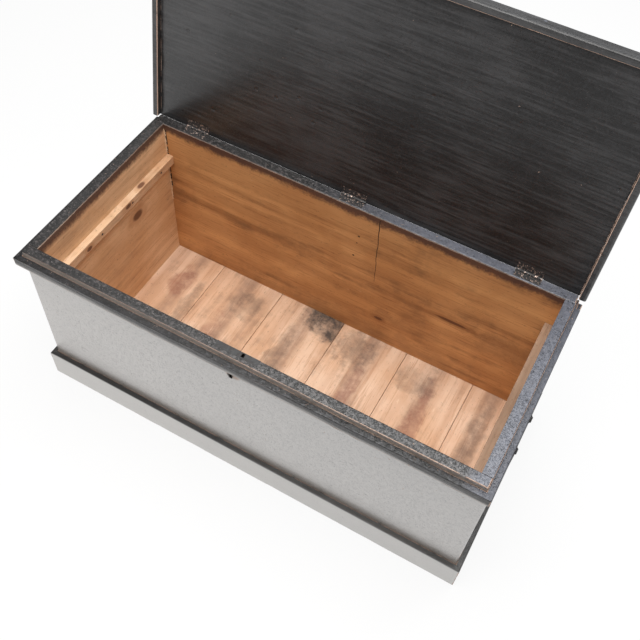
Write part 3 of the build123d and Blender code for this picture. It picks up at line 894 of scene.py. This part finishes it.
wood = {
    "merge": 0.00002,
    "flatAngle": 1.0,
    "sharpAngle": 40.0,
    "edge": 0.02,
    "ease": 0.0018,
    "step": 0.02,
    "cutReach": 0.000001,
    "wander": 22.0,
    "sink": 0.0003,
    "fineWander": 120.0,
    "fineFrom": 0.25,
    "nick": 0.0022,
    "faceShare": 0.25,
    "innerX": 0.487,
    "innerY": 0.22,
    "innerWear": 0.0,
}
woodFinishes = {
    "front_board": "front",
    "back_board": "back",
    "left_end": "end",
    "right_end": "end",
    "front_moulding": "trim",
    "left_moulding": "trim",
    "right_moulding": "trim",
    "front_plinth": "plinth",
    "left_plinth": "plinth",
    "right_plinth": "plinth",
    "left_runner": "runner",
    "right_runner": "paintedShadeRunner",
    "lid_board": "lid",
    "front_lip": "lip",
    "left_lip": "lip",
    "right_lip": "lip",
}
for number in floorMarks:
    woodFinishes[f"floor_board_{number}"] = f"floor{number}"
bareEase = 0.0010  # on the floor boards and the runners
lidPieces = ("lid_board", "front_lip", "left_lip", "right_lip")


def addPiece(name, mesh, finishName, body):
    mesh.materials.clear()
    mesh.materials.append(finishes[finishName])
    piece = bpy.data.objects.new(name, mesh)
    bpy.context.scene.collection.objects.link(piece)
    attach(piece, body)
    return piece


for nodeName, finishName in woodFinishes.items():
    look = dict(wood)
    if nodeName.startswith("floor") or nodeName.endswith("runner"):
        look.update(ease=bareEase)
    body = "lid" if nodeName in lidPieces else "box"
    piece = addPiece(f"{nodeName}_eased", softened(nodeName, look), finishName, body)
    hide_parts(nodeName)
print("boards eased")

# the iron and the nails keep their CAD shapes, and nails on the outside are painted over
nailFinishes = {
    "moulding_nails": "trim",
    "lip_nails": "trim",
    "corner_nails": "trim",
    "plinth_nails": "plinth",
}
for nodeName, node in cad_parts.items():
    if nodeName in woodFinishes:
        continue
    finishName = nailFinishes.get(nodeName, "iron")
    if nodeName.startswith("hinge"):
        finishName = "wornIron"
    node.data.materials.clear()
    node.data.materials.append(finishes[finishName])
print("iron finished")


# splinters where the left end meets the back board
splinters = {
    "count": 26,
    "low": 0.20,
    "high": 0.425,
    "length": 0.016,
    "width": 0.0030,
    "tip": 0.3,
    "sides": 5,
    "lean": 0.25,
    "outX": 0.0009,
    "outY": 0.0012,
}


def makeSplinters(look):
    work = bmesh.new()
    for index in range(look["count"]):
        height = look["low"] + (look["high"] - look["low"]) * index / look["count"]
        long = look["length"] * random.uniform(0.5, 1.0)
        wide = look["width"] * random.uniform(0.5, 1.0)
        made = bmesh.ops.create_cone(
            work,
            cap_ends=True,
            segments=look["sides"],
            radius1=wide,
            radius2=wide * look["tip"],
            depth=long,
        )
        lean = Matrix.Rotation(random.uniform(-look["lean"], look["lean"]), 4, "X")
        place = (trunk["left"] + look["outX"], trunk["back"] - look["outY"], height)
        spot = Matrix.Translation(place)
        bmesh.ops.transform(work, matrix=spot @ lean, verts=made["verts"])
    mesh = bpy.data.meshes.new("corner_splinters")
    work.to_mesh(mesh)
    work.free()
    return addPiece("corner_splinters", mesh, "splinter", "box")


makeSplinters(splinters)


# floor, lamps and world
studio = {
    "floorSize": 12.0,
    "floorColour": (0.86, 0.86, 0.86),
    "floorSpeck": (0.80, 0.80, 0.80),
    "floorGlow": 0.86,
    "shadowHalf": (0.515, 0.245),
    "sky": 0.45,
}
lamps = {
    "keyLamp": {
        "place": (0.45, 1.5, 2.3),
        "target": (0.1, 0.1, 0.3),
        "size": 1.7,
        "power": 26.0,
        "colour": (0.94, 0.97, 1.0),
    },
    "topLamp": {
        "place": (0.0, -0.25, 2.3),
        "target": (0.0, 0.0, 0.2),
        "size": 1.9,
        "power": 58.0,
        "colour": (1.0, 0.985, 0.96),
    },
}


def makeFloor(look):
    finish = Finish("floorPaper")
    speck = finish.noise(40.0, 3.0)
    shade = finish.mix(speck * 0.04, look["floorColour"], look["floorSpeck"])
    plain = finish.node("ShaderNodeBsdfDiffuse", inputs={"Color": shade}, output="BSDF")
    glow = finish.node("ShaderNodeEmission", inputs={"Color": (1.0, 1.0, 1.0), "Strength": 1.0})
    rays = [
        finish.node("ShaderNodeLightPath", output=name)
        for name in ("Is Camera Ray", "Is Glossy Ray", "Is Transmission Ray")
    ]
    halfX, halfY = look["shadowHalf"]  # no glow under the trunk, which would light it from below
    under = finish.between(finish.x, -halfX, halfX) * finish.between(finish.y, -halfY, halfY)
    share = (rays[0] * look["floorGlow"] + rays[1] + rays[2]) * (1 - under)
    mixed = finish.node("ShaderNodeMixShader", inputs={0: share, 1: plain, 2: glow})
    end = finish.tree.nodes.new("ShaderNodeOutputMaterial")
    finish.tree.links.new(mixed.socket, end.inputs["Surface"])
    work = bmesh.new()
    bmesh.ops.create_grid(work, x_segments=4, y_segments=4, size=look["floorSize"])
    mesh = bpy.data.meshes.new("studio_floor")
    work.to_mesh(mesh)
    work.free()
    mesh.materials.append(finish.material)
    floor = bpy.data.objects.new("studio_floor", mesh)
    bpy.context.scene.collection.objects.link(floor)


def makeLamp(name, look):
    lamp = bpy.data.objects.new(name, bpy.data.lights.new(name, "AREA"))
    bpy.context.scene.collection.objects.link(lamp)
    lamp.data.shape = "SQUARE"
    lamp.data.size = look["size"]
    lamp.data.energy = look["power"]
    lamp.data.color = look["colour"]
    lamp.location = look["place"]
    towards = Vector(look["target"]) - Vector(look["place"])
    lamp.rotation_euler = towards.to_track_quat("-Z", "Y").to_euler()


def makeWorld(look):
    world = bpy.data.worlds.new("studio")
    bpy.context.scene.world = world
    world.use_nodes = True
    tree = world.node_tree
    tree.nodes.clear()
    rays = tree.nodes.new("ShaderNodeLightPath")
    soft = tree.nodes.new("ShaderNodeBackground")
    soft.inputs["Strength"].default_value = look["sky"]
    white = tree.nodes.new("ShaderNodeBackground")
    white.inputs["Color"].default_value = (1.0, 1.0, 1.0, 1.0)
    white.inputs["Strength"].default_value = 1.0
    mixed = tree.nodes.new("ShaderNodeMixShader")
    end = tree.nodes.new("ShaderNodeOutputWorld")
    tree.links.new(rays.outputs["Is Camera Ray"], mixed.inputs[0])
    tree.links.new(soft.outputs[0], mixed.inputs[1])
    tree.links.new(white.outputs[0], mixed.inputs[2])
    tree.links.new(mixed.outputs[0], end.inputs["Surface"])


makeFloor(studio)
for name, lampLook in lamps.items():
    makeLamp(name, lampLook)
makeWorld(studio)
bpy.context.scene.view_settings.view_transform = "Standard"
print("studio lit")
